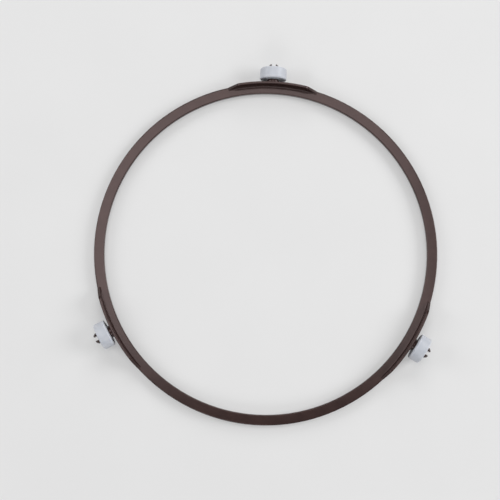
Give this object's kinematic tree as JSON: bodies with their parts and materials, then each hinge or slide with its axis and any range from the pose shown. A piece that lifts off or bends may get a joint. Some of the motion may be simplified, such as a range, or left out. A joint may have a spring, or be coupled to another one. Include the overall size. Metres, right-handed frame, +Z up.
{
  "type": "microwave roller ring",
  "caption": "Flat moulded ring with rollers outside it on split snap pins, to carry the turntable plate of a microwave oven.",
  "frame": {"origin": "on the ring's axis, in the plane of the oven floor that the rollers stand on", "axes": "+Z up out of the oven floor along the ring's axis, +Y outwards along the axle of roller_1"},
  "size_m": [0.215, 0.2262, 0.0168],
  "materials": {
    "ring_plastic": "satin dark brown",
    "roller_plastic": "milky bluish white, slightly translucent"
  },
  "bodies": {
    "ring": {"ring": "ring_plastic"},
    "roller_1": {"roller_1": "roller_plastic"},
    "roller_2": {"roller_2": "roller_plastic"},
    "roller_3": {"roller_3": "roller_plastic"}
  },
  "joints": [
    {"name": "roller_1_spin", "type": "hinge", "parent": "ring", "child": "roller_1", "pos_m": [0, 0.1125, 0.0084], "axis": [0, 1, 0], "continuous": true},
    {"name": "roller_2_spin", "type": "hinge", "parent": "ring", "child": "roller_2", "pos_m": [-0.09743, -0.05625, 0.0084], "axis": [-0.866, -0.5, 0], "continuous": true},
    {"name": "roller_3_spin", "type": "hinge", "parent": "ring", "child": "roller_3", "pos_m": [0.09743, -0.05625, 0.0084], "axis": [0.866, -0.5, 0], "continuous": true}
  ]
}
